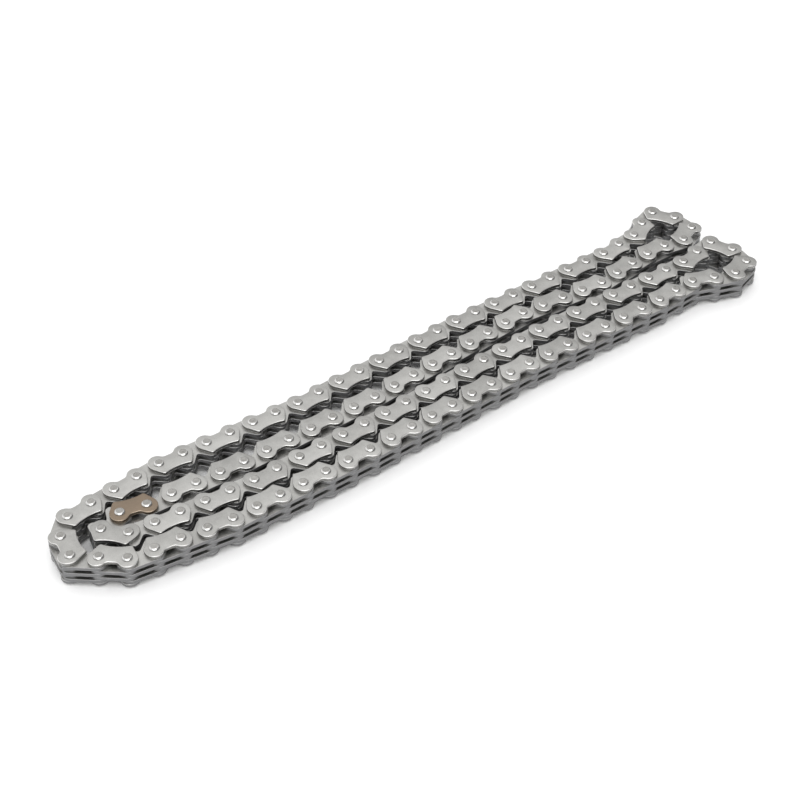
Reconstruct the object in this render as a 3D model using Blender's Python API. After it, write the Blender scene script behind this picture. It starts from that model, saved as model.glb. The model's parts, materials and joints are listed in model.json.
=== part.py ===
# Silent timing chain, laid flat and folded into four strands.
# Metres, +Z up. The pins stand upright and the lower rivet heads rest on z = 0.
# Strand 1 lies at the back (+Y), strand 4 at the front. Pins are counted along the chain:
# up strand 1, round the upper right loop, down strand 2, round the small fold at the left,
# up strand 3, round the lower right loop, down strand 4 and back to pin 0 at the left end.
# The teeth are on the right of that way, the flat backs on its left.

import math

import bmesh
import bpy
import numpy
from mathutils import Vector

MM = 0.001

# Chain
PITCH = 6.35 * MM
PIN_COUNT = 128

# Stack of plates, from the lower guide plate (level 1) to the upper one (level 7)
PLATE_THICKNESS = 0.91 * MM
AXIAL_GAP = 0.04 * MM
LOWER_GUIDE_LEVEL = 1
UPPER_GUIDE_LEVEL = 7
GUIDE_ROW_LEVELS = (3, 5)
INNER_ROW_LEVELS = (2, 4, 6)

# Toothed link plate, measured from its pin holes
BACK_HEIGHT = 2.85 * MM
BACK_CORNER = 0.7 * MM
LINK_NOSE = 2.82 * MM
NOSE_RISE = 0.2 * MM
TOOTH_DEPTH = 3.85 * MM
TOOTH_OUTSIDE = 0.42 * MM
TOOTH_INSIDE = 0.8 * MM
CROTCH_DEPTH = 1.0 * MM

# Guide plate, with a notch between two lobes in its back and an arch between its corners
GUIDE_NOSE = 2.92 * MM
GUIDE_CORNER_DEPTH = 3.8 * MM
GUIDE_ARCH_RISE = 0.55 * MM
LOBE_HEIGHT = 2.83 * MM
LOBE_SHOULDER = 1.5 * MM
LOBE_CROWN = 0.9 * MM
NOTCH_FLOOR_HEIGHT = 1.5 * MM
NOTCH_HALF_WIDTH = 1.3 * MM

# Rivet pin
PIN_RADIUS = 1.1 * MM
PIN_SIDES = 6
HEAD_RADIUS = 1.3 * MM
HEAD_HEIGHT = 0.45 * MM
PIN_CLEARANCE = 0.04 * MM

# How the pieces of one stiff run hold together
SINK = 0.15 * MM
SKIN = 0.02 * MM
BOND_REACH = 0.2 * MM
WEB_HALF_WIDTH = 0.11 * MM
WEB_LOW = 0.9 * MM
WEB_HIGH = 2.5 * MM

# Room between the strands as they lie folded, from plate to plate
BACK_TO_BACK_ROOM = 0.2 * MM
TOOTH_TO_TOOTH_ROOM = 0.4 * MM
LOOP_ROOM = 2.2 * MM

STRAND_3 = 0.0
STRAND_2 = STRAND_3 + 2 * BACK_HEIGHT + BACK_TO_BACK_ROOM
STRAND_1 = STRAND_2 + 2 * TOOTH_DEPTH + LOOP_ROOM
STRAND_4 = STRAND_3 - 2 * TOOTH_DEPTH - TOOTH_TO_TOOTH_ROOM

# Where the chain bends as it lies: pin, distance along the strands in pitches from the
# middle, the strand, and the distance towards the back from that strand's line in pitches.
LAY = (
    (0, -13.93, STRAND_3, 0.83),
    (1, -13.76, STRAND_2, 0.88),
    (2, -13.05, STRAND_1, 0.04),
    (6, -9.09, STRAND_1, 0.33),
    (12, -3.1, STRAND_1, -0.09),
    (20, 4.91, STRAND_1, -0.03),
    (28, 12.89, STRAND_1, -0.39),
    (30, 14.91, STRAND_1, -0.23),
    (31, 15.8, STRAND_1, 0.18),
    (32, 16.77, STRAND_1, 0.46),
    (33, 17.25, STRAND_1, -0.42),
    (34, 17.21, STRAND_2, 0.17),
    (35, 16.33, STRAND_2, -0.18),
    (36, 15.35, STRAND_2, -0.04),
    (37, 14.37, STRAND_2, -0.01),
    (40, 11.36, STRAND_2, -0.22),
    (44, 7.46, STRAND_2, 0.24),
    (52, -0.53, STRAND_2, -0.07),
    (58, -6.53, STRAND_2, 0.07),
    (62, -10.5, STRAND_2, 0.39),
    (63, -11.48, STRAND_2, 0.61),
    (64, -12.44, STRAND_2, 0.33),
    (65, -11.77, STRAND_3, 0.52),
    (66, -10.78, STRAND_3, 0.36),
    (70, -6.81, STRAND_3, -0.04),
    (76, -0.81, STRAND_3, -0.15),
    (84, 7.2, STRAND_3, -0.07),
    (92, 15.12, STRAND_3, -0.42),
    (94, 17.06, STRAND_3, -0.24),
    (95, 17.45, STRAND_4, 0.2),
    (96, 17.3, STRAND_4, -0.8),
    (97, 16.29, STRAND_4, -1.07),
    (98, 15.34, STRAND_4, -0.71),
    (99, 14.41, STRAND_4, -0.37),
    (100, 13.42, STRAND_4, -0.36),
    (101, 12.46, STRAND_4, -0.38),
    (108, 5.46, STRAND_4, -0.07),
    (116, -2.52, STRAND_4, -0.09),
    (122, -8.49, STRAND_4, 0.11),
    (126, -12.43, STRAND_4, 0.78),
)
FIT_ROUNDS = 12
ROOT_PIN = 64
JOINING_PIN = 62
OPEN_PIN = 0
LOOSE_LINKS = (62, 63, 64, 65)

# Pins of the lay at which the two sides are carried as one, while all the others are hinges
STIFF_PINS = (28, 31, 33, 35, 37, 40, 62, 66, 76, 98, 100)

STEEL = (0.46, 0.455, 0.445, 1.0)
PIN_STEEL = (0.5, 0.5, 0.5, 1.0)
BRONZE = (0.29, 0.215, 0.145, 1.0)
STEEL_ROUGHNESS = 0.42
PIN_ROUGHNESS = 0.3
BRONZE_ROUGHNESS = 0.45


def level_bottom(level):
    return HEAD_HEIGHT + (level - 1) * (PLATE_THICKNESS + AXIAL_GAP)


def level_top(level):
    return level_bottom(level) + PLATE_THICKNESS


TOTAL_HEIGHT = level_top(UPPER_GUIDE_LEVEL) + HEAD_HEIGHT


def lay_points():
    return [(pin, Vector((along * PITCH, strand + across * PITCH))) for pin, along, strand, across in LAY]


def run_lengths():
    pins = [row[0] for row in LAY]
    return [(after - pin) % PIN_COUNT for pin, after in zip(pins, pins[1:] + pins[:1])]


def pivot_places():
    # The least shift of the laid points that makes every run a whole number of pitches long
    places = numpy.array([tuple(point) for _, point in lay_points()])
    count = len(places)
    wanted = numpy.array(run_lengths()) * PITCH
    for _ in range(FIT_ROUNDS):
        steps = numpy.roll(places, -1, axis=0) - places
        lengths = numpy.linalg.norm(steps, axis=1)
        slopes = numpy.zeros((count, 2 * count))
        for row, (step, length) in enumerate(zip(steps, lengths)):
            following = (row + 1) % count
            slopes[row, 2 * row:2 * row + 2] = -step / length
            slopes[row, 2 * following:2 * following + 2] = step / length
        shift = numpy.linalg.lstsq(slopes, wanted - lengths, rcond=None)[0]
        places = places + shift.reshape(-1, 2)
    return {pin: Vector((float(x), float(y))) for (pin, _), (x, y) in zip(lay_points(), places)}


def prism(points, bottom, top):
    # Closed solid over a flat outline, which runs counterclockwise
    shape = bmesh.new()
    corners = [shape.verts.new((x, y, bottom)) for x, y in points]
    shape.faces.new(corners)
    grown = bmesh.ops.extrude_face_region(shape, geom=shape.faces[:])
    lifted = [item for item in grown["geom"] if isinstance(item, bmesh.types.BMVert)]
    bmesh.ops.translate(shape, verts=lifted, vec=(0, 0, top - bottom))
    bmesh.ops.recalc_face_normals(shape, faces=shape.faces[:])
    return finished(shape)


def turned(profile, x):
    # Solid of PIN_SIDES sides about an upright axis, from (radius, height) pairs going up
    shape = bmesh.new()
    rings = []
    for radius, height in profile:
        ring = []
        for side in range(PIN_SIDES):
            angle = 2 * math.pi * side / PIN_SIDES
            ring.append(shape.verts.new((x + radius * math.cos(angle), radius * math.sin(angle), height)))
        rings.append(ring)
    for low, high in zip(rings, rings[1:]):
        for side in range(PIN_SIDES):
            after = (side + 1) % PIN_SIDES
            shape.faces.new((low[side], low[after], high[after], high[side]))
    shape.faces.new(rings[0][::-1])
    shape.faces.new(rings[-1])
    return finished(shape)


def finished(shape):
    mesh = bpy.data.meshes.new("solid")
    shape.to_mesh(mesh)
    shape.free()
    return mesh


def gathered(meshes):
    shape = bmesh.new()
    for mesh in meshes:
        shape.from_mesh(mesh)
        bpy.data.meshes.remove(mesh)
    return finished(shape)


def boolean(base, tool, operation):
    scene = bpy.context.scene
    body = bpy.data.objects.new("body", base)
    cutter = bpy.data.objects.new("cutter", tool)
    for item in (body, cutter):
        scene.collection.objects.link(item)
    cutter.hide_render = True
    cutter.display_type = "WIRE"
    modifier = body.modifiers.new("cut", "BOOLEAN")
    modifier.operation = operation
    modifier.solver = "EXACT"
    modifier.use_self = True
    modifier.object = cutter
    bpy.context.view_layer.update()
    graph = bpy.context.evaluated_depsgraph_get()
    result = bpy.data.meshes.new_from_object(body.evaluated_get(graph))
    for item in (body, cutter):
        bpy.data.objects.remove(item)
    for mesh in (base, tool):
        bpy.data.meshes.remove(mesh)
    return result


def joined(meshes):
    if len(meshes) == 1:
        return meshes[0]
    return boolean(meshes[0], gathered(meshes[1:]), "UNION")


def drilled(mesh, pins, radius):
    overrun = TOTAL_HEIGHT
    drills = [turned(((radius, -overrun), (radius, 2 * overrun)), pin * PITCH) for pin in pins]
    return boolean(mesh, gathered(drills), "DIFFERENCE")


def hole_radius(turning):
    # A hole that turns on its pin clears the pin's corners with its own flats
    if turning:
        return (PIN_RADIUS + PIN_CLEARANCE) / math.cos(math.pi / PIN_SIDES)
    return PIN_RADIUS + PIN_CLEARANCE / math.cos(math.pi / PIN_SIDES)


def right_nose(pin):
    x = pin * PITCH
    return [(x + TOOTH_OUTSIDE, -TOOTH_DEPTH), (x + LINK_NOSE, NOSE_RISE), (x + BACK_CORNER, BACK_HEIGHT)]


def left_nose(pin):
    x = pin * PITCH
    return [(x - BACK_CORNER, BACK_HEIGHT), (x - LINK_NOSE, NOSE_RISE), (x - TOOTH_OUTSIDE, -TOOTH_DEPTH)]


def toothed_bar(first, last):
    # Outline of the link plates over pins first to last, one tooth under each pin
    points = []
    for pin in range(first, last + 1):
        x = pin * PITCH
        if pin > first:
            points.append((x - TOOTH_INSIDE, -TOOTH_DEPTH))
        if pin < last:
            points.append((x + TOOTH_INSIDE, -TOOTH_DEPTH))
            points.append((x + PITCH / 2, -CROTCH_DEPTH))
    return left_nose(first) + points + right_nose(last)


def open_end(pin, rightwards):
    # Outline of the one plate that reaches past a stiff run's core to the hinge at a pin.
    # Its inner end is sunk in the core, a skin's thickness inside the core's own faces.
    way = 1 if rightwards else -1
    sunk = pin * PITCH - way * (PITCH + BOND_REACH)
    x = pin * PITCH
    points = [
        (sunk, -CROTCH_DEPTH),
        (x - way * PITCH / 2, -CROTCH_DEPTH),
        (x - way * TOOTH_INSIDE, -TOOTH_DEPTH),
        (x + way * TOOTH_OUTSIDE, -TOOTH_DEPTH),
        (x + way * LINK_NOSE, NOSE_RISE),
        (x + way * BACK_CORNER, BACK_HEIGHT),
        (sunk, BACK_HEIGHT - SKIN),
    ]
    return points if rightwards else points[::-1]


def guide_outline(first):
    middle = (first + 0.5) * PITCH
    half = PITCH / 2
    right = [
        (half + TOOTH_OUTSIDE, -GUIDE_CORNER_DEPTH),
        (half + GUIDE_NOSE, NOSE_RISE),
        (half + LOBE_SHOULDER, LOBE_HEIGHT),
        (half - LOBE_CROWN, LOBE_HEIGHT),
        (NOTCH_HALF_WIDTH, NOTCH_FLOOR_HEIGHT),
    ]
    left = [(-x, y) for x, y in reversed(right)]
    arch = [(0, GUIDE_ARCH_RISE - GUIDE_CORNER_DEPTH)]
    return [(middle + x, y) for x, y in arch + right + left]


def plates(outline, levels):
    return [prism(outline, level_bottom(level), level_top(level)) for level in levels]


def guides(first):
    return plates(guide_outline(first), (LOWER_GUIDE_LEVEL, UPPER_GUIDE_LEVEL))


def fixed_pin(pin):
    # Rivet pin whose heads are sunk into the guide plates that it is part of
    low = HEAD_HEIGHT + SINK
    high = TOTAL_HEIGHT - HEAD_HEIGHT - SINK
    heads = ((HEAD_RADIUS, 0), (HEAD_RADIUS, low), (PIN_RADIUS, low))
    upper = ((PIN_RADIUS, high), (HEAD_RADIUS, high), (HEAD_RADIUS, TOTAL_HEIGHT))
    return turned(heads + upper, pin * PITCH)


def head_stubs(pin):
    # The two heads alone, at the one hinge where the chain comes apart to open out
    low = turned(((HEAD_RADIUS, 0), (HEAD_RADIUS, HEAD_HEIGHT + SINK)), pin * PITCH)
    high = turned(((HEAD_RADIUS, TOTAL_HEIGHT - HEAD_HEIGHT - SINK), (HEAD_RADIUS, TOTAL_HEIGHT)), pin * PITCH)
    return [low, high]


def loose_pin(pin):
    low = HEAD_HEIGHT - AXIAL_GAP
    high = TOTAL_HEIGHT - HEAD_HEIGHT + AXIAL_GAP
    lower = ((HEAD_RADIUS, 0), (HEAD_RADIUS, low), (PIN_RADIUS, low))
    upper = ((PIN_RADIUS, high), (HEAD_RADIUS, high), (HEAD_RADIUS, TOTAL_HEIGHT))
    return turned(lower + upper, pin * PITCH)


def guide_link(open_pin):
    pieces = guides(0) + plates(toothed_bar(0, 1), GUIDE_ROW_LEVELS) + [fixed_pin(1)]
    pieces += head_stubs(0) if open_pin else [fixed_pin(0)]
    return joined(pieces)


def inner_link():
    middle = PITCH / 2
    low, high = INNER_ROW_LEVELS[0], INNER_ROW_LEVELS[-1]
    corners = [
        (middle - WEB_HALF_WIDTH, WEB_LOW),
        (middle + WEB_HALF_WIDTH, WEB_LOW),
        (middle + WEB_HALF_WIDTH, WEB_HIGH),
        (middle - WEB_HALF_WIDTH, WEB_HIGH),
    ]
    web = prism(corners, level_top(low) - SINK, level_bottom(high) + SINK)
    link = joined([web] + plates(toothed_bar(0, 1), INNER_ROW_LEVELS))
    return drilled(link, (0, 1), hole_radius(turning=True))


def link_run(length, guide_first):
    # A stiff run: a solid toothed core with guide plates on it, and open plates at its hinges
    core = prism(toothed_bar(1, length - 1), level_top(LOWER_GUIDE_LEVEL) - SINK,
                 level_bottom(UPPER_GUIDE_LEVEL) + SINK)
    pieces = [core]
    first_guide = 0 if guide_first else 1
    for pin in range(first_guide, length - 1, 2):
        pieces += guides(pin)
    pieces += plates(open_end(0, False), GUIDE_ROW_LEVELS if guide_first else INNER_ROW_LEVELS)
    pieces += plates(open_end(length, True), INNER_ROW_LEVELS)
    if guide_first:
        pieces.append(fixed_pin(0))
    holes = (length,) if guide_first else (0, length)
    return drilled(joined(pieces), holes, hole_radius(turning=True))


def loose_guide_link():
    # The pieces of one guide link, each a solid of its own
    still = hole_radius(turning=False)
    lower_guide, upper_guide = guides(0)
    lower_plate, upper_plate = plates(toothed_bar(0, 1), GUIDE_ROW_LEVELS)
    return {
        "lower_guide_plate": drilled(lower_guide, (0, 1), still),
        "upper_guide_plate": drilled(upper_guide, (0, 1), still),
        "lower_link_plate": drilled(lower_plate, (0, 1), still),
        "upper_link_plate": drilled(upper_plate, (0, 1), still),
        "first_pin": loose_pin(0),
        "second_pin": loose_pin(1),
    }


def loose_inner_link():
    names = ("lower_link_plate", "middle_link_plate", "upper_link_plate")
    solids = plates(toothed_bar(0, 1), INNER_ROW_LEVELS)
    return {name: drilled(solid, (0, 1), hole_radius(turning=True)) for name, solid in zip(names, solids)}


def body_name(start, length):
    if start == ROOT_PIN:
        return "fold_link"
    if start == JOINING_PIN:
        return "joining_link"
    if length > 1:
        return f"link_run_{start}_to_{(start + length) % PIN_COUNT}"
    return f"guide_link_{start}" if start % 2 == 0 else f"inner_link_{start}"


def body_solids(start, length, made):
    # Name and mesh of each piece of a body. Bodies of one shape share their meshes.
    name = body_name(start, length)
    if start in LOOSE_LINKS:
        kind = "loose_guide" if start % 2 == 0 else "loose_inner"
        if kind not in made:
            made[kind] = loose_guide_link() if start % 2 == 0 else loose_inner_link()
        return {f"{name}_{piece}": mesh for piece, mesh in made[kind].items()}
    kind = (length, start % 2, start == OPEN_PIN)
    if kind not in made:
        if length > 1:
            made[kind] = link_run(length, start % 2 == 0)
        elif start % 2 == 0:
            made[kind] = guide_link(start == OPEN_PIN)
        else:
            made[kind] = inner_link()
    return {name: made[kind]}


def material(name, colour, roughness):
    made = bpy.data.materials.new(name)
    made.use_nodes = True
    shader = made.node_tree.nodes["Principled BSDF"]
    shader.inputs["Base Color"].default_value = colour
    shader.inputs["Roughness"].default_value = roughness
    shader.inputs["Metallic"].default_value = 1.0
    return made


def piece_material(name):
    if name == "joining_link_upper_guide_plate":
        return material(f"{name}_finish", BRONZE, BRONZE_ROUGHNESS)
    if name.endswith("pin"):
        return material(f"{name}_finish", PIN_STEEL, PIN_ROUGHNESS)
    return material(f"{name}_finish", STEEL, STEEL_ROUGHNESS)


def chain_bodies():
    # Start pin, length in pitches, place of the start pin and heading of every body
    places = pivot_places()
    pins = [row[0] for row in LAY]
    bodies = []
    for pin, after, length in zip(pins, pins[1:] + pins[:1], run_lengths()):
        step = places[after] - places[pin]
        bodies.append((pin, length, places[pin], math.atan2(step.y, step.x)))
    return bodies


def hinge_pins():
    # The pin on which each body turns, which is the next hinge on its way to the fold link
    hinges = {}
    for start, _, _, _ in chain_bodies():
        if start < ROOT_PIN:
            hinges[start] = min(row[0] for row in LAY if row[0] > start and row[0] not in STIFF_PINS)
        else:
            hinges[start] = max(row[0] for row in LAY if row[0] <= start and row[0] not in STIFF_PINS)
    return hinges


def pivot_empty(name, place, parent, parent_place):
    empty = bpy.data.objects.new(name, None)
    bpy.context.scene.collection.objects.link(empty)
    offset = place - parent_place
    empty.location = (offset.x, offset.y, 0)
    empty.parent = parent
    empty.empty_display_size = PITCH / 2
    return empty


def build_pivots():
    # One empty on each hinge, each carried by the next one on the way to the fold link
    places = pivot_places()
    hinges = hinge_pins()
    before = sorted({pin for start, pin in hinges.items() if start < ROOT_PIN}, reverse=True)
    after = sorted({pin for start, pin in hinges.items() if start > ROOT_PIN})
    root = pivot_empty("pivot_root", places[ROOT_PIN], None, Vector((0, 0)))
    pivots = {}
    for arm in (before, after):
        carrier, carrier_place = root, places[ROOT_PIN]
        for pin in arm:
            pivots[pin] = pivot_empty(f"pivot_{pin}", places[pin], carrier, carrier_place)
            carrier, carrier_place = pivots[pin], places[pin]
    return root, pivots


def build_pieces(root, pivots):
    places = pivot_places()
    hinges = hinge_pins()
    made = {}
    pieces = []
    for start, length, place, heading in chain_bodies():
        for name, mesh in body_solids(start, length, made).items():
            piece = bpy.data.objects.new(name, mesh)
            bpy.context.scene.collection.objects.link(piece)
            offset = place - places[hinges[start]]
            piece.parent = root if start == ROOT_PIN else pivots[hinges[start]]
            piece.location = (offset.x, offset.y, 0)
            piece.rotation_euler = (0, 0, heading)
            if not mesh.materials:
                mesh.materials.append(None)
            piece.material_slots[0].link = "OBJECT"
            piece.material_slots[0].material = piece_material(name)
            pieces.append(piece)
    return pieces


def centre(pieces, root):
    # Puts the origin under the middle of the chain's own box
    bpy.context.view_layer.update()
    corners = [piece.matrix_world @ vertex.co for piece in pieces for vertex in piece.data.vertices]
    middle_x = (min(point.x for point in corners) + max(point.x for point in corners)) / 2
    middle_y = (min(point.y for point in corners) + max(point.y for point in corners)) / 2
    root.location.x -= middle_x
    root.location.y -= middle_y
    bpy.context.view_layer.update()


def build_chain():
    for item in list(bpy.data.objects):
        bpy.data.objects.remove(item)
    root, pivots = build_pivots()
    pieces = build_pieces(root, pivots)
    centre(pieces, root)
    return pieces


build_chain()
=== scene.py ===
import json
import math
import random

import bmesh
import bpy
from mathutils import Matrix, Vector


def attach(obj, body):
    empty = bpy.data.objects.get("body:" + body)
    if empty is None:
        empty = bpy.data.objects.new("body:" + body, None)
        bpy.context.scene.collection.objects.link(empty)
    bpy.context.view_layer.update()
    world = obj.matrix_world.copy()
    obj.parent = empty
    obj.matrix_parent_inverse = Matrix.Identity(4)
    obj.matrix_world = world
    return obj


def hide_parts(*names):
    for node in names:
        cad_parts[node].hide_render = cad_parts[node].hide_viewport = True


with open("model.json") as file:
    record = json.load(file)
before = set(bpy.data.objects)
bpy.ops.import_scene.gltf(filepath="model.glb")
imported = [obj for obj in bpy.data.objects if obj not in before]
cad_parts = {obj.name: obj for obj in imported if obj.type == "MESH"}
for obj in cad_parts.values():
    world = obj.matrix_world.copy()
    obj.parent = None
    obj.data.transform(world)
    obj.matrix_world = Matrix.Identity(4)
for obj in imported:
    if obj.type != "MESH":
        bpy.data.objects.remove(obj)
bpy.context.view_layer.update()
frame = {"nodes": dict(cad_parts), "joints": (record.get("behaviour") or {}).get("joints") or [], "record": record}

mm = 0.001

chain = {
    "pitch": 6.35 * mm,
    "pins": 128,
    "plateThickness": 0.91 * mm,
    "levelStep": 0.95 * mm,
    "headHeight": 0.45 * mm,
    "restingDepth": 0.01 * mm,  # points of a solid lower than this rest on the floor
    "guideLevels": {"lower": 1, "upper": 7},  # levels count the plates on a pin from below
    "guideRowLevels": {"lower": 3, "upper": 5},
    "innerRowLevels": {"lower": 2, "middle": 4, "upper": 6},
    "looseLinks": {"joining_link": 62, "inner_link_63": 63, "fold_link": 64, "inner_link_65": 65},
    "markedPlate": "joining_link_upper_guide_plate",
}


# Where the links lie

def linksOf(node):
    # Numbers of the links that a node of the frame stands for, each the number of its first pin
    for name, link in chain["looseLinks"].items():
        if node.startswith(name):
            return [link]
    start, *end = [int(word) for word in node.split("_") if word.isdigit()]
    if not end:
        return [start]
    return [(start + step) % chain["pins"] for step in range((end[0] - start) % chain["pins"])]


def restMiddle(node):
    # Middle of the rivet heads that a node rests on
    points = [vert.co for vert in frame["nodes"][node].data.vertices
              if vert.co.z < chain["restingDepth"]]
    low = Vector((min(point.x for point in points), min(point.y for point in points)))
    high = Vector((max(point.x for point in points), max(point.y for point in points)))
    return (low + high) / 2


def framePins():
    # Pins where the frame's solids meet: hinges first, then the heads under guide links, whose
    # two pins lie at equal distances from the middle of what they rest on
    places = {}
    for joint in frame["joints"]:
        pin = int(joint["name"].rsplit("_", 1)[1])
        places[pin] = Vector(joint["pos_m"][:2])
    for node in sorted(frame["nodes"]):
        first = linksOf(node)[0]
        if node.endswith("first_pin") or (node.startswith("link_run") and first % 2 == 0):
            places.setdefault(first, restMiddle(node))
        elif node.startswith("guide_link") and first not in places:
            places[first] = 2 * restMiddle(node) - places[first + 1]
        elif node.startswith("guide_link"):
            places.setdefault(first + 1, 2 * restMiddle(node) - places[first])
    return places


def linkPlaces(node, places):
    # Middle and heading of each link of a node: its links lie in one straight line
    links = linksOf(node)
    start = places[links[0]]
    end = places[(links[-1] + 1) % chain["pins"]]
    step = (end - start) / len(links)
    heading = math.atan2(step.y, step.x)
    return {link: (start + step * (index + 0.5), heading) for index, link in enumerate(links)}


def levelBottom(level):
    # Height of the underside of the plate at a level
    return chain["headHeight"] + (level - 1) * chain["levelStep"]


# Finishes

class Value:
    # A shader socket: sums and products of values add their Math nodes
    def __init__(self, finish, socket):
        self.finish = finish
        self.socket = socket

    def maths(self, operation, first, second):
        return self.finish.node("ShaderNodeMath", {"operation": operation}, {0: first, 1: second})

    def __add__(self, other):
        return self.maths("ADD", self, other)

    def __sub__(self, other):
        return self.maths("SUBTRACT", self, other)

    def __rsub__(self, other):
        return self.maths("SUBTRACT", other, self)

    def __mul__(self, other):
        return self.maths("MULTIPLY", self, other)

    __radd__ = __add__
    __rmul__ = __mul__


class Finish:
    # A node material, or the world's light, that is written node by node
    def __init__(self, owner, ending):
        owner.use_nodes = True
        self.owner = owner
        self.tree = owner.node_tree
        self.tree.nodes.clear()
        self.ending = self.tree.nodes.new(ending)

    def node(self, kind, settings, sockets, output=0):
        made = self.tree.nodes.new(kind)
        for name, value in settings.items():
            setattr(made, name, value)
        for name, value in sockets.items():
            self.feed(made.inputs[name], value)
        return Value(self, made.outputs[output])

    def feed(self, socket, value):
        if isinstance(value, Value):
            self.tree.links.new(value.socket, socket)
        else:
            socket.default_value = value

    def noise(self, place, scale, detail, breakup):
        return self.node("ShaderNodeTexNoise", {}, {
            "Vector": place, "Scale": scale, "Detail": detail, "Roughness": breakup,
        })

    def share(self, value, start, end):
        # 0 up to the start value, 1 from the end value on
        return self.node("ShaderNodeMapRange", {"interpolation_type": "LINEAR"}, {
            "Value": value, "From Min": start, "From Max": end,
        })

    def mixed(self, factor, first, second):
        # Colour sockets go by number, because a Mix node's number sockets have the same names
        return self.node("ShaderNodeMix", {"data_type": "RGBA"},
                         {"Factor": factor, 6: first, 7: second}, 2)

    def end(self, value):
        self.feed(self.ending.inputs["Surface"], value)
        return self.owner


def steelFinish(name, look):
    # Steel plate or pin: flat faces, rims and sheared edges are told apart by the attribute "edge" (0 flat, 1 rim,
    # 2 edge), and "tone" differs a little from plate to plate. The rims get a painted highlight, a lighter base
    # colour, which is duller on the shaded copy for the link plates
    finish = Finish(bpy.data.materials.new(name), "ShaderNodeOutputMaterial")
    place = finish.node("ShaderNodeTexCoord", {}, {}, "Object")
    edge = finish.node("ShaderNodeAttribute", {"attribute_name": "edge"}, {}, "Fac")
    tone = finish.node("ShaderNodeAttribute", {"attribute_name": "tone"}, {}, "Fac")
    rim = finish.share(edge, 0.0, 1.0)
    cut = finish.share(edge, 1.0, 2.0)
    cloud = finish.noise(place, look["cloudScale"], look["cloudDetail"], look["cloudBreakup"])
    grain = finish.noise(place, look["grainScale"], look["grainDetail"], look["grainBreakup"])
    pits = finish.node("ShaderNodeTexVoronoi", {"feature": "F1"},
                       {"Vector": place, "Scale": look["pitScale"], "Randomness": 1.0}, "Distance")
    pit = finish.node("ShaderNodeMapRange", {"interpolation_type": "SMOOTHSTEP"}, {
        "Value": pits, "From Min": look["pitBottom"], "From Max": look["pitRim"],
        "To Min": 1.0, "To Max": 0.0,
    })
    shear = finish.node("ShaderNodeMapping", {"vector_type": "POINT"},
                        {"Vector": place, "Scale": look["shearScale"]})
    streaks = finish.noise(shear, 1.0, look["grainDetail"], look["grainBreakup"])
    shade = (cloud - 0.5) * look["cloudDepth"] + (grain - 0.5) * look["grainDepth"] + tone + 0.5
    shade = shade - pit * look["pitDepth"] + (streaks - 0.5) * cut * look["streakDepth"]
    flat = finish.mixed(shade, look["dark"], look["light"])
    # painted highlight: the rims' base colour is mixed towards a lighter colour (a duller one on the shaded copy)
    rimLitColour = finish.mixed(rim * look["paintedRimLightShare"], flat, look["paintedRimLight"])
    colour = finish.mixed(cut * look["edgeShare"], rimLitColour, look["edgeColour"])
    rough = (cloud - 0.5) * look["cloudRoughness"] + (grain - 0.5) * look["grainRoughness"]
    rough = rough + pit * look["pitRoughness"] + look["roughness"]
    rough = rough + rim * look["rimRoughness"] + cut * look["edgeRoughness"]
    height = grain * look["grainHeight"] + streaks * cut * look["streakHeight"] - pit
    bump = finish.node("ShaderNodeBump", {},
                       {"Strength": look["bump"], "Distance": look["bumpDepth"], "Height": height})
    shader = finish.node("ShaderNodeBsdfPrincipled", {}, {
        "Base Color": colour, "Metallic": look["metallic"], "Roughness": rough, "Normal": bump,
    })
    return finish.end(shader)


plateLook = {
    "dark": (0.335, 0.331, 0.318, 1.0),
    "light": (0.54, 0.535, 0.516, 1.0),
    # painted highlight: the rims are mixed towards this near-white colour
    "paintedRimLight": (0.84, 0.835, 0.82, 1.0),
    "paintedRimLightShare": 0.85,
    "edgeColour": (0.2, 0.197, 0.19, 1.0),
    "edgeShare": 0.9,
    "metallic": 1.0,
    "roughness": 0.4,
    "rimRoughness": -0.1,  # this and the next four add to the roughness or take from it
    "edgeRoughness": 0.1,
    "cloudRoughness": 0.16,
    "grainRoughness": 0.1,
    "pitRoughness": 0.1,
    "cloudScale": 420.0,
    "cloudDetail": 3.0,
    "cloudBreakup": 0.55,
    "cloudDepth": 0.9,
    "grainScale": 5200.0,
    "grainDetail": 2.0,
    "grainBreakup": 0.6,
    "grainDepth": 0.9,
    "grainHeight": 0.6,
    "pitScale": 1500.0,
    "pitBottom": 0.06,
    "pitRim": 0.2,
    "pitDepth": 0.25,
    "shearScale": (5200.0, 5200.0, 500.0),  # streaks up and down the sheared edges
    "streakDepth": 1.2,
    "streakHeight": 1.2,
    "bump": 0.25,
    "bumpDepth": 0.03 * mm,
}

# Shaded copy of the plate finish, for the toothed plates and the lower guide plates: painted shade, their rims
# take a dull grey in place of the painted highlight, and their sheared edges a slightly lighter grey
shadedLinkLook = plateLook | {
    "paintedRimLight": (0.4, 0.4, 0.4, 1.0),
    "edgeColour": (0.26, 0.26, 0.263, 1.0),
    "edgeShare": 1.0,
    "rimRoughness": 0.05,
}

# Pins: the rounded shoulder of each head gets the painted highlight (a lighter rim colour), and the upright side
# wall of the head keeps the plates' dark edge colour as painted shade below it
pinLook = plateLook | {
    "dark": (0.27, 0.264, 0.25, 1.0),
    "light": (0.42, 0.412, 0.395, 1.0),
    "paintedRimLight": (0.8, 0.795, 0.78, 1.0),
    "roughness": 0.3,
    "rimRoughness": -0.08,
    "cloudScale": 1500.0,
    "grainScale": 6500.0,
    "bump": 0.12,
}

markedLook = plateLook | {
    "dark": (0.185, 0.145, 0.108, 1.0),
    "light": (0.285, 0.222, 0.164, 1.0),
    # painted highlight: a lighter brown on the rims
    "paintedRimLight": (0.6, 0.49, 0.38, 1.0),
    "paintedRimLightShare": 0.7,
    "edgeColour": (0.13, 0.1, 0.072, 1.0),
    "metallic": 0.85,
    "roughness": 0.44,
}

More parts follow.
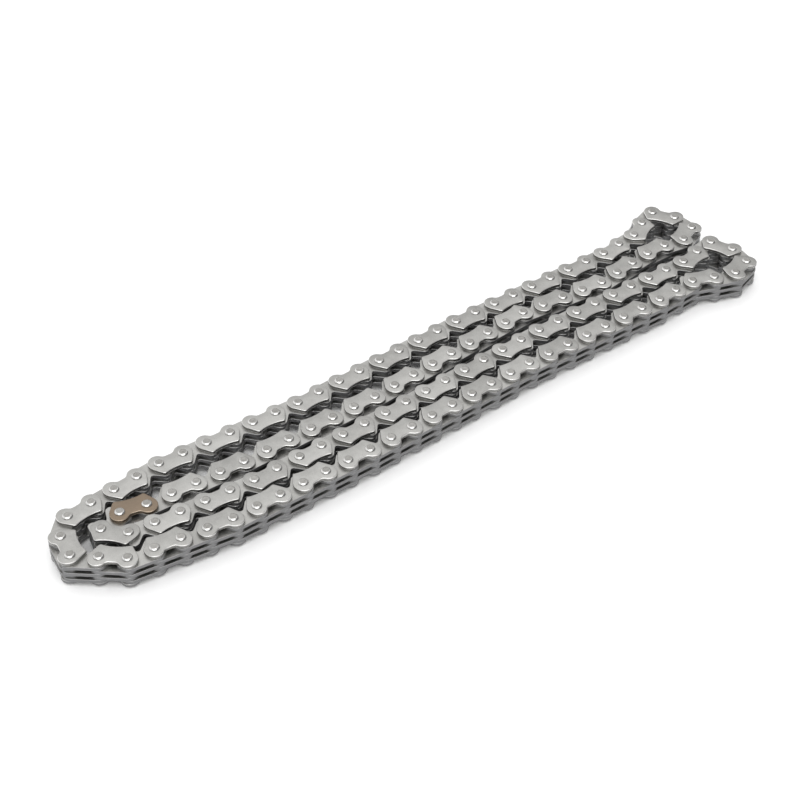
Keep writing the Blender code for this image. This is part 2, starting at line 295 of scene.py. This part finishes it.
litPlateSteel = steelFinish("litPlateSteel", plateLook)
shadedLinkSteel = steelFinish("shadedLinkSteel", shadedLinkLook)
guideSteelLitShaded = {"lower": shadedLinkSteel, "upper": litPlateSteel}  # the upper plates get the painted rim highlight, the lower ones the painted shade of the link plates
pinSteel = steelFinish("pinSteel", pinLook)
markedCoat = steelFinish("markedCoat", markedLook)
print("finishes: guide plate, link plate and pin steel and the marked plate's brown coat")


# Shapes of one plate and one pin, in mm: a plate's holes lie half a pitch from its middle

guidePlate = {
    "corners": (  # x from the middle, y towards the back, how far the corner is rounded, steps
        (0.0, -2.52, 3.3, 6),
        (3.595, -3.8, 0.4, 2),
        (6.085, 0.2, 1.5, 4),
        (4.68, 2.82, 1.25, 4),
        (2.28, 2.82, 1.0, 3),
        (1.3, 1.5, 0.5, 2),
    ),
    "rim": 0.2,
    "rimSteps": 3,
}

linkPlate = {
    "corners": (
        (0.0, -1.05, 0.9, 3),
        (2.375, -3.84, 0.3, 1),
        (3.595, -3.84, 0.3, 1),
        (5.985, 0.2, 0.8, 3),
        (4.2, 2.84, 0.9, 3),
    ),
    "rim": 0.05,
    "rimSteps": 1,
}

pinHole = {
    "radius": 1.12,
    "sides": 10,
    "reach": 1.05,  # edges within this many radii of its middle are the hole's own, and stay sharp
}

rivetPin = {
    "profile": (  # radius, height above the face of the guide plate, up to the middle of the head
        (1.1, -0.02),
        (1.25, 0.0),
        (1.25, 0.1),
        (1.2, 0.19),
        (1.03, 0.34),
        (0.88, 0.43),
        (0.74, 0.45),
        (0.4, 0.42),
        (0.0, 0.39),
    ),
    "sides": 18,
    "mergeDistance": 0.005,
}

faceKinds = {"flat": 0.9, "rim": 0.1}  # least part of a face's normal that points up or down
sharpAngle = math.radians(32)  # edges that turn more than this stay sharp


def roundedOutline(corners):
    # Right half as given, left half mirrored, then each corner rounded by its own reach
    shape = bmesh.new()
    mirrored = [(-x, y, reach, steps) for x, y, reach, steps in corners[::-1] if x > 0]
    outline = list(corners) + mirrored
    verts = [shape.verts.new((x * mm, y * mm, 0)) for x, y, _, _ in outline]
    shape.faces.new(verts)
    for vert, (_, _, reach, steps) in zip(verts, outline):
        bmesh.ops.bevel(shape, geom=[vert], offset=reach * mm, offset_type="OFFSET",
                        segments=steps, profile=0.5, affect="VERTICES", material=-1)
    return shape


def plateMesh(name, plate):
    shape = roundedOutline(plate["corners"])
    bmesh.ops.delete(shape, geom=shape.faces[:], context="FACES_ONLY")
    holes = [Vector((side * chain["pitch"] / 2, 0, 0)) for side in (-1, 1)]
    for hole in holes:
        bmesh.ops.create_circle(shape, cap_ends=False, segments=pinHole["sides"],
                                radius=pinHole["radius"] * mm, matrix=Matrix.Translation(hole))
    bmesh.ops.triangle_fill(shape, use_beauty=True, use_dissolve=False, edges=shape.edges[:])
    lifted = bmesh.ops.extrude_face_region(shape, geom=shape.faces[:])
    top = [item for item in lifted["geom"] if isinstance(item, bmesh.types.BMVert)]
    bmesh.ops.translate(shape, verts=top, vec=(0, 0, chain["plateThickness"]))
    bmesh.ops.recalc_face_normals(shape, faces=shape.faces[:])
    isFlat = {face: abs(face.normal.z) > faceKinds["flat"] for face in shape.faces}
    holeReach = pinHole["reach"] * pinHole["radius"] * mm
    rims = []
    for edge in shape.edges:
        middle = (edge.verts[0].co + edge.verts[1].co) / 2
        atHole = any((middle - hole).to_2d().length < holeReach for hole in holes)
        if not atHole and isFlat[edge.link_faces[0]] != isFlat[edge.link_faces[1]]:
            rims.append(edge)
    bmesh.ops.bevel(shape, geom=rims, offset=plate["rim"] * mm, offset_type="OFFSET",
                    segments=plate["rimSteps"], profile=0.5, affect="EDGES", clamp_overlap=False,
                    loop_slide=False, material=-1)
    return finished(name, shape)


def pinMesh(name):
    # Half the outline of the pin, from the middle of the lower head to that of the upper, spun
    shape = bmesh.new()
    height = levelBottom(chain["guideLevels"]["upper"]) + chain["plateThickness"]
    upper = [(radius * mm, height + rise * mm) for radius, rise in rivetPin["profile"]]
    lower = [(radius * mm, chain["headHeight"] - rise * mm) for radius, rise in rivetPin["profile"]]
    outline = [shape.verts.new((radius, 0, z)) for radius, z in lower[::-1] + upper]
    for first, second in zip(outline, outline[1:]):
        shape.edges.new((first, second))
    bmesh.ops.spin(shape, geom=shape.verts[:] + shape.edges[:], cent=(0, 0, 0), axis=(0, 0, 1),
                   angle=2 * math.pi, steps=rivetPin["sides"], use_merge=True)
    bmesh.ops.remove_doubles(shape, verts=shape.verts[:], dist=rivetPin["mergeDistance"] * mm)
    bmesh.ops.recalc_face_normals(shape, faces=shape.faces[:])
    return finished(name, shape)


def edgeMark(face):
    # 0 for a flat face, 1 for a rim, which takes the painted highlight, 2 for a sheared edge or the side of a pin,
    # whose darker colour on a pin's head is painted shade
    upright = abs(face.normal.z)
    if upright > faceKinds["flat"]:
        return 0.0
    return 1.0 if upright > faceKinds["rim"] else 2.0


def finished(name, shape):
    # Marks each face for its finish, and keeps only real corners sharp
    edgeLayer = shape.faces.layers.float.new("edge")
    shape.faces.layers.float.new("tone")
    shape.normal_update()
    for face in shape.faces:
        face.smooth = True
        face[edgeLayer] = edgeMark(face)
    for edge in shape.edges:
        edge.smooth = edge.calc_face_angle(0) < sharpAngle
    mesh = bpy.data.meshes.new(name)
    shape.to_mesh(mesh)
    shape.free()
    return mesh


guideShape = plateMesh("guideShape", guidePlate)
linkShape = plateMesh("linkShape", linkPlate)
pinShape = pinMesh("pinShape")
print("shapes: faces of a guide plate, a link plate and a pin:",
      [len(shape.polygons) for shape in (guideShape, linkShape, pinShape)])


# The chain

plateTones = {
    "spread": 0.22,  # how much lighter or darker a plate may be, as a share of dark to light
    "seed": 7,
}

tones = random.Random(plateTones["seed"])


def addCopy(piece, shape, place):
    # One more plate or pin in a piece, with its own tone
    firstFace = len(piece.faces)
    firstVert = len(piece.verts)
    piece.from_mesh(shape)
    piece.verts.ensure_lookup_table()
    piece.faces.ensure_lookup_table()
    toneLayer = piece.faces.layers.float["tone"]
    tone = tones.uniform(-plateTones["spread"], plateTones["spread"])
    for face in piece.faces[firstFace:]:
        face[toneLayer] = tone
    bmesh.ops.transform(piece, matrix=place, verts=piece.verts[firstVert:])


def makePiece(name, copies, material, body, node):
    # A visible piece: copies of a shape that ride on one body and stand in for one node
    piece = bmesh.new()
    for shape, place in copies:
        addCopy(piece, shape, place)
    mesh = bpy.data.meshes.new(name)
    piece.to_mesh(mesh)
    piece.free()
    mesh.materials.append(material)
    item = bpy.data.objects.new(name, mesh)
    bpy.context.scene.collection.objects.link(item)
    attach(item, body)
    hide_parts(node)


def linkPlace(middle, heading, height):
    # Where a link's own middle comes to lie, and how it is turned
    turned = Matrix.Rotation(heading, 4, "Z")
    return Matrix.Translation((middle.x, middle.y, height)) @ turned


def platePlace(middle, heading, level):
    return linkPlace(middle, heading, levelBottom(level))


def pinPlaces(middle, heading):
    half = chain["pitch"] / 2
    return [linkPlace(middle, heading, 0) @ Matrix.Translation((side * half, 0, 0))
            for side in (-1, 1)]


def looseLink(name, link, middle, heading, body):
    # A link whose plates and pins are separate nodes of the frame
    isGuideRow = link % 2 == 0
    levels = chain["guideRowLevels"] if isGuideRow else chain["innerRowLevels"]
    for place, level in levels.items():
        makePiece(f"{place}LinkPlate_{name}", [(linkShape, platePlace(middle, heading, level))],
                  shadedLinkSteel, body, f"{name}_{place}_link_plate")
    if not isGuideRow:
        return
    for place, level in chain["guideLevels"].items():
        node = f"{name}_{place}_guide_plate"
        finish, slot = guideSteelLitShaded[place], "plate_steel"
        if node == chain["markedPlate"]:
            finish, slot = markedCoat, "marked_plate"
        makePiece(f"{place}GuidePlate_{name}", [(guideShape, platePlace(middle, heading, level))],
                  finish, body, node)
    for order, place in zip(("first", "second"), pinPlaces(middle, heading)):
        makePiece(f"{order}Pin_{name}", [(pinShape, place)],
                  pinSteel, body, f"{name}_{order}_pin")


def linkedRun(node, links, body):
    # A node that stands for one or more whole links: guide plates, toothed plates and pins
    plates, pins = [], []
    guides = {place: [] for place in chain["guideLevels"]}
    for link, (middle, heading) in links.items():
        isGuideRow = link % 2 == 0
        levels = chain["guideRowLevels"] if isGuideRow else chain["innerRowLevels"]
        plates += [(linkShape, platePlace(middle, heading, level)) for level in levels.values()]
        if isGuideRow:
            for place, level in chain["guideLevels"].items():
                guides[place].append((guideShape, platePlace(middle, heading, level)))
            pins += [(pinShape, place) for place in pinPlaces(middle, heading)]
    makePiece(f"linkPlates_{node}", plates, shadedLinkSteel, body, node)
    if pins:
        for place, copies in guides.items():
            makePiece(f"{place}GuidePlates_{node}", copies,
                      guideSteelLitShaded[place], body, node)
        makePiece(f"rivetPins_{node}", pins, pinSteel, body, node)


pinsOfFrame = framePins()
looseLinksDone = set()
for body, nodes in sorted(frame["record"]["behaviour"]["bodies"].items()):
    for node in sorted(nodes):
        links = linkPlaces(node, pinsOfFrame)
        first = linksOf(node)[0]
        if first not in chain["looseLinks"].values():
            linkedRun(node, links, body)
        elif first not in looseLinksDone:
            name = next(name for name, link in chain["looseLinks"].items() if link == first)
            looseLink(name, first, *links[first], body)
            looseLinksDone.add(first)


# Floor, light and camera

floor = {
    "colour": (0.97, 0.97, 0.97, 1.0),
    "roughness": 0.9,
    "radius": 4.0,
    "sides": 96,
    "drop": 0.02 * mm,
}

room = {
    "colour": (1.0, 1.0, 1.0, 1.0),
    "backLight": 1.14,  # brightness high up behind the chain's left end
    "frontLight": 0.2,  # and low down in front of it
    "backTurn": 58.0,
    "lowest": -0.2,  # the light grows with the cosine of the angle to the brightest spot, from
    "highest": 1.2,  # here to there, so that it never quite reaches backLight
}

softboxes = {
    "keySoftbox": {"azimuth": -30.0, "elevation": 58.0, "spread": 64.0, "strength": 1.7},
    "fillSoftbox": {"azimuth": 110.0, "elevation": 62.0, "spread": 60.0, "strength": 0.35},
}

camera = {
    "target": Vector((-11.264, -1.824, 7.51)) * mm,
    "distance": 391.84 * mm,
    "elevation": 41.1,
    "back": Vector((-0.6334, -0.7738, 0)),  # horizontal way from the chain to the camera
    "roll": 0.5425,
    "lens": 72.616,
    "sensor": 36.0,
    "nearest": 0.01,
    "farthest": 20.0,
}


def makeFloor():
    shape = bmesh.new()
    bmesh.ops.create_circle(shape, cap_ends=True, segments=floor["sides"], radius=floor["radius"],
                            matrix=Matrix.Translation((0, 0, -floor["drop"])))
    mesh = bpy.data.meshes.new("studioFloor")
    shape.to_mesh(mesh)
    shape.free()
    finish = Finish(bpy.data.materials.new("whitePaper"), "ShaderNodeOutputMaterial")
    paper = finish.node("ShaderNodeBsdfPrincipled", {}, {
        "Base Color": floor["colour"], "Roughness": floor["roughness"], "Specular IOR Level": 0.0,
    })
    mesh.materials.append(finish.end(paper))
    item = bpy.data.objects.new("studioFloor", mesh)
    bpy.context.scene.collection.objects.link(item)


def makeRoom():
    # A soft white room, brightest high up behind the chain and to its left
    world = bpy.data.worlds.new("studioRoom")
    bpy.context.scene.world = world
    finish = Finish(world, "ShaderNodeOutputWorld")
    way = finish.node("ShaderNodeTexCoord", {}, {}, "Generated")
    level = -camera["back"].normalized()
    level.rotate(Matrix.Rotation(math.radians(room["backTurn"]), 3, "Z"))
    brightest = (level + Vector((0, 0, 1))).normalized()
    toBack = finish.node("ShaderNodeVectorMath", {"operation": "DOT_PRODUCT"},
                         {0: way, 1: brightest}, "Value")
    light = finish.node("ShaderNodeMapRange", {"interpolation_type": "SMOOTHSTEP"}, {
        "Value": toBack, "From Min": room["lowest"], "From Max": room["highest"],
        "To Min": room["frontLight"], "To Max": room["backLight"],
    })
    glow = finish.node("ShaderNodeBackground", {}, {"Color": room["colour"], "Strength": light})
    finish.end(glow)


def makeSoftbox(name, softbox):
    lamp = bpy.data.lights.new(name, "SUN")
    lamp.energy = softbox["strength"]
    lamp.angle = math.radians(softbox["spread"])
    item = bpy.data.objects.new(name, lamp)
    turn = math.radians(softbox["azimuth"])
    rise = math.radians(softbox["elevation"])
    level = math.cos(rise)
    way = Vector((math.sin(turn) * level, -math.cos(turn) * level, math.sin(rise)))
    item.rotation_euler = way.to_track_quat("Z", "Y").to_euler()
    bpy.context.scene.collection.objects.link(item)


def makeCamera():
    rise = math.radians(camera["elevation"])
    roll = math.radians(camera["roll"])
    level = camera["back"].normalized()
    back = level * math.cos(rise) + Vector((0, 0, math.sin(rise)))
    right = Vector((0, 0, 1)).cross(back).normalized()
    up = back.cross(right)
    across = right * math.cos(roll) + up * math.sin(roll)
    above = up * math.cos(roll) - right * math.sin(roll)
    item = bpy.data.objects.new("camera", bpy.data.cameras.new("camera"))
    item.data.lens = camera["lens"]
    item.data.sensor_width = camera["sensor"]
    item.data.clip_start = camera["nearest"]
    item.data.clip_end = camera["farthest"]
    turned = Matrix((across, above, back)).transposed().to_4x4()
    item.matrix_world = Matrix.Translation(camera["target"] + back * camera["distance"]) @ turned
    bpy.context.scene.collection.objects.link(item)
    bpy.context.scene.camera = item


makeFloor()
makeRoom()
for name, softbox in softboxes.items():
    makeSoftbox(name, softbox)
makeCamera()
bpy.context.scene.view_settings.view_transform = "Standard"
print("studio: floor, room, two softboxes and the camera")

for shape in (guideShape, linkShape, pinShape):
    bpy.data.meshes.remove(shape)
